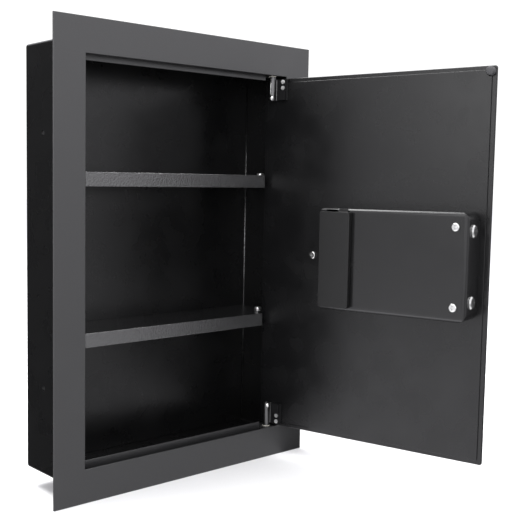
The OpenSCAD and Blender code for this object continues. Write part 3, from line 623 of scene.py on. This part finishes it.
def rod(bm, x, y, z, radius, length, segments):
    """Upright round rod centred on a place."""
    verts = bmesh.ops.create_cone(bm, cap_ends=True, segments=segments, radius1=radius,
                                  radius2=radius, depth=length)["verts"]
    bmesh.ops.translate(bm, vec=Vector((x, y, z)), verts=verts)


def drawn(name, bm, body, slot, material, smooth=False):
    """Turns a mesh drawn in millimetres into a piece, swung open if it isn't on the safe's body."""
    bmesh.ops.scale(bm, vec=Vector((MM, MM, MM)), verts=bm.verts)
    if body != "safe_body":
        bm.transform(OPEN)
    bmesh.ops.recalc_face_normals(bm, faces=bm.faces)
    me = bpy.data.meshes.new(name)
    bm.to_mesh(me)
    bm.free()
    add(name, me, body, slot, material)
    if not smooth:
        me.shade_flat()


# A digit's seven bars as (x0, z0, x1, z1), in units of half a digit's width
STROKES = {"a": (-1, 2, 1, 2), "b": (1, 0, 1, 2), "c": (1, -2, 1, 0), "d": (-1, -2, 1, -2),
           "e": (-1, -2, -1, 0), "f": (-1, 0, -1, 2), "g": (-1, 0, 1, 0)}
SIGNS = {"0": "abcdef", "1": "bc", "2": "abged", "3": "abgcd", "4": "fgbc", "5": "afgcd",
         "6": "afgedc", "7": "abc", "8": "abcdefg", "9": "gfabcd"}


def key_sign(key):
    """The digit, star or hash on a key, drawn with bars."""
    unit, half, star_reach, hash_reach, hash_gap = 1.35, 0.3, 2.2, 2.4, 0.9
    low, high = box_mm(key)
    centre = Vector(((low.x + high.x) / 2, low.y, (low.z + high.z) / 2))
    sign = key[len("key_"):]
    bm = bmesh.new()
    if sign in SIGNS:
        for x0, z0, x1, z1 in (STROKES[k] for k in SIGNS[sign]):
            bar(bm, x0 * unit - half, z0 * unit - half, x1 * unit + half, z1 * unit + half, centre)
    elif sign == "star":
        for k in range(3):
            bar(bm, -half, -star_reach, half, star_reach, centre, math.radians(60 * k))
    else:
        for side in (-hash_gap, hash_gap):
            bar(bm, side - half, -hash_reach, side + half, hash_reach, centre)
            bar(bm, -hash_reach, side - half, hash_reach, side + half, centre)
    drawn(key + "_sign", bm, BODY_OF[key], SLOT_OF[key], "mark_white")


def dial_marks():
    """Two marks on the panel for the knob's shut and open places."""
    half, near, far = 0.6, 21.5, 26
    low, high = box_mm("knob")
    face = box_mm("control_panel")[0].y
    dial = Vector(((low.x + high.x) / 2, face, (low.z + high.z) / 2))
    bm = bmesh.new()
    for turn in (0, -90):
        bar(bm, -half, near, half, far, dial, math.radians(turn))
    drawn("dial_marks", bm, "door", SLOT_OF["control_panel"], "mark_white")


def corner_highlight_beads():
    """Rounded beads down the body's two back corners, in the lighter, glossier shelf paint, so that they show a
    painted highlight line down the back corners.
    """
    radius, inset, short_by = 1.3, 0.35, 6
    box = NODES["back_panel"].bound_box
    low, high = Vector(box[0]) / MM, Vector(box[6]) / MM
    bm = bmesh.new()
    for x in (low.x + inset, high.x - inset):
        rod(bm, x, low.y - inset, (low.z + high.z) / 2, radius, high.z - low.z - short_by, 20)
    # shelf paint instead of body paint: the beads carry a painted highlight
    drawn("corner_highlight_beads", bm, "safe_body", "body_paint", "shelf_paint", smooth=True)


def hinge_highlight_strip():
    """Bright zinc strip along the upper hinge's barrel: a painted highlight standing in for the light caught down
    the barrel's side.
    """
    radius, short_by, raised, across, out = 0.8, 9, 3, 0.4, 4.1
    low, high = box_mm("hinge_bracket_upper")
    bm = bmesh.new()
    # bright zinc rod on the darker barrel: painted highlight, on the upper hinge only
    rod(bm, PIVOT.x / MM + across, PIVOT.y / MM + out, (low.z + high.z) / 2 + raised,
        radius, high.z - low.z - short_by, 16)
    drawn("hinge_highlight_strip", bm, "door", SLOT_OF["hinge_bracket_upper"], "zinc_steel", smooth=True)


for node in NODES:
    if node.startswith("key_") and node not in ("key_plug", "key_cover"):
        key_sign(node)
dial_marks()
corner_highlight_beads()
hinge_highlight_strip()
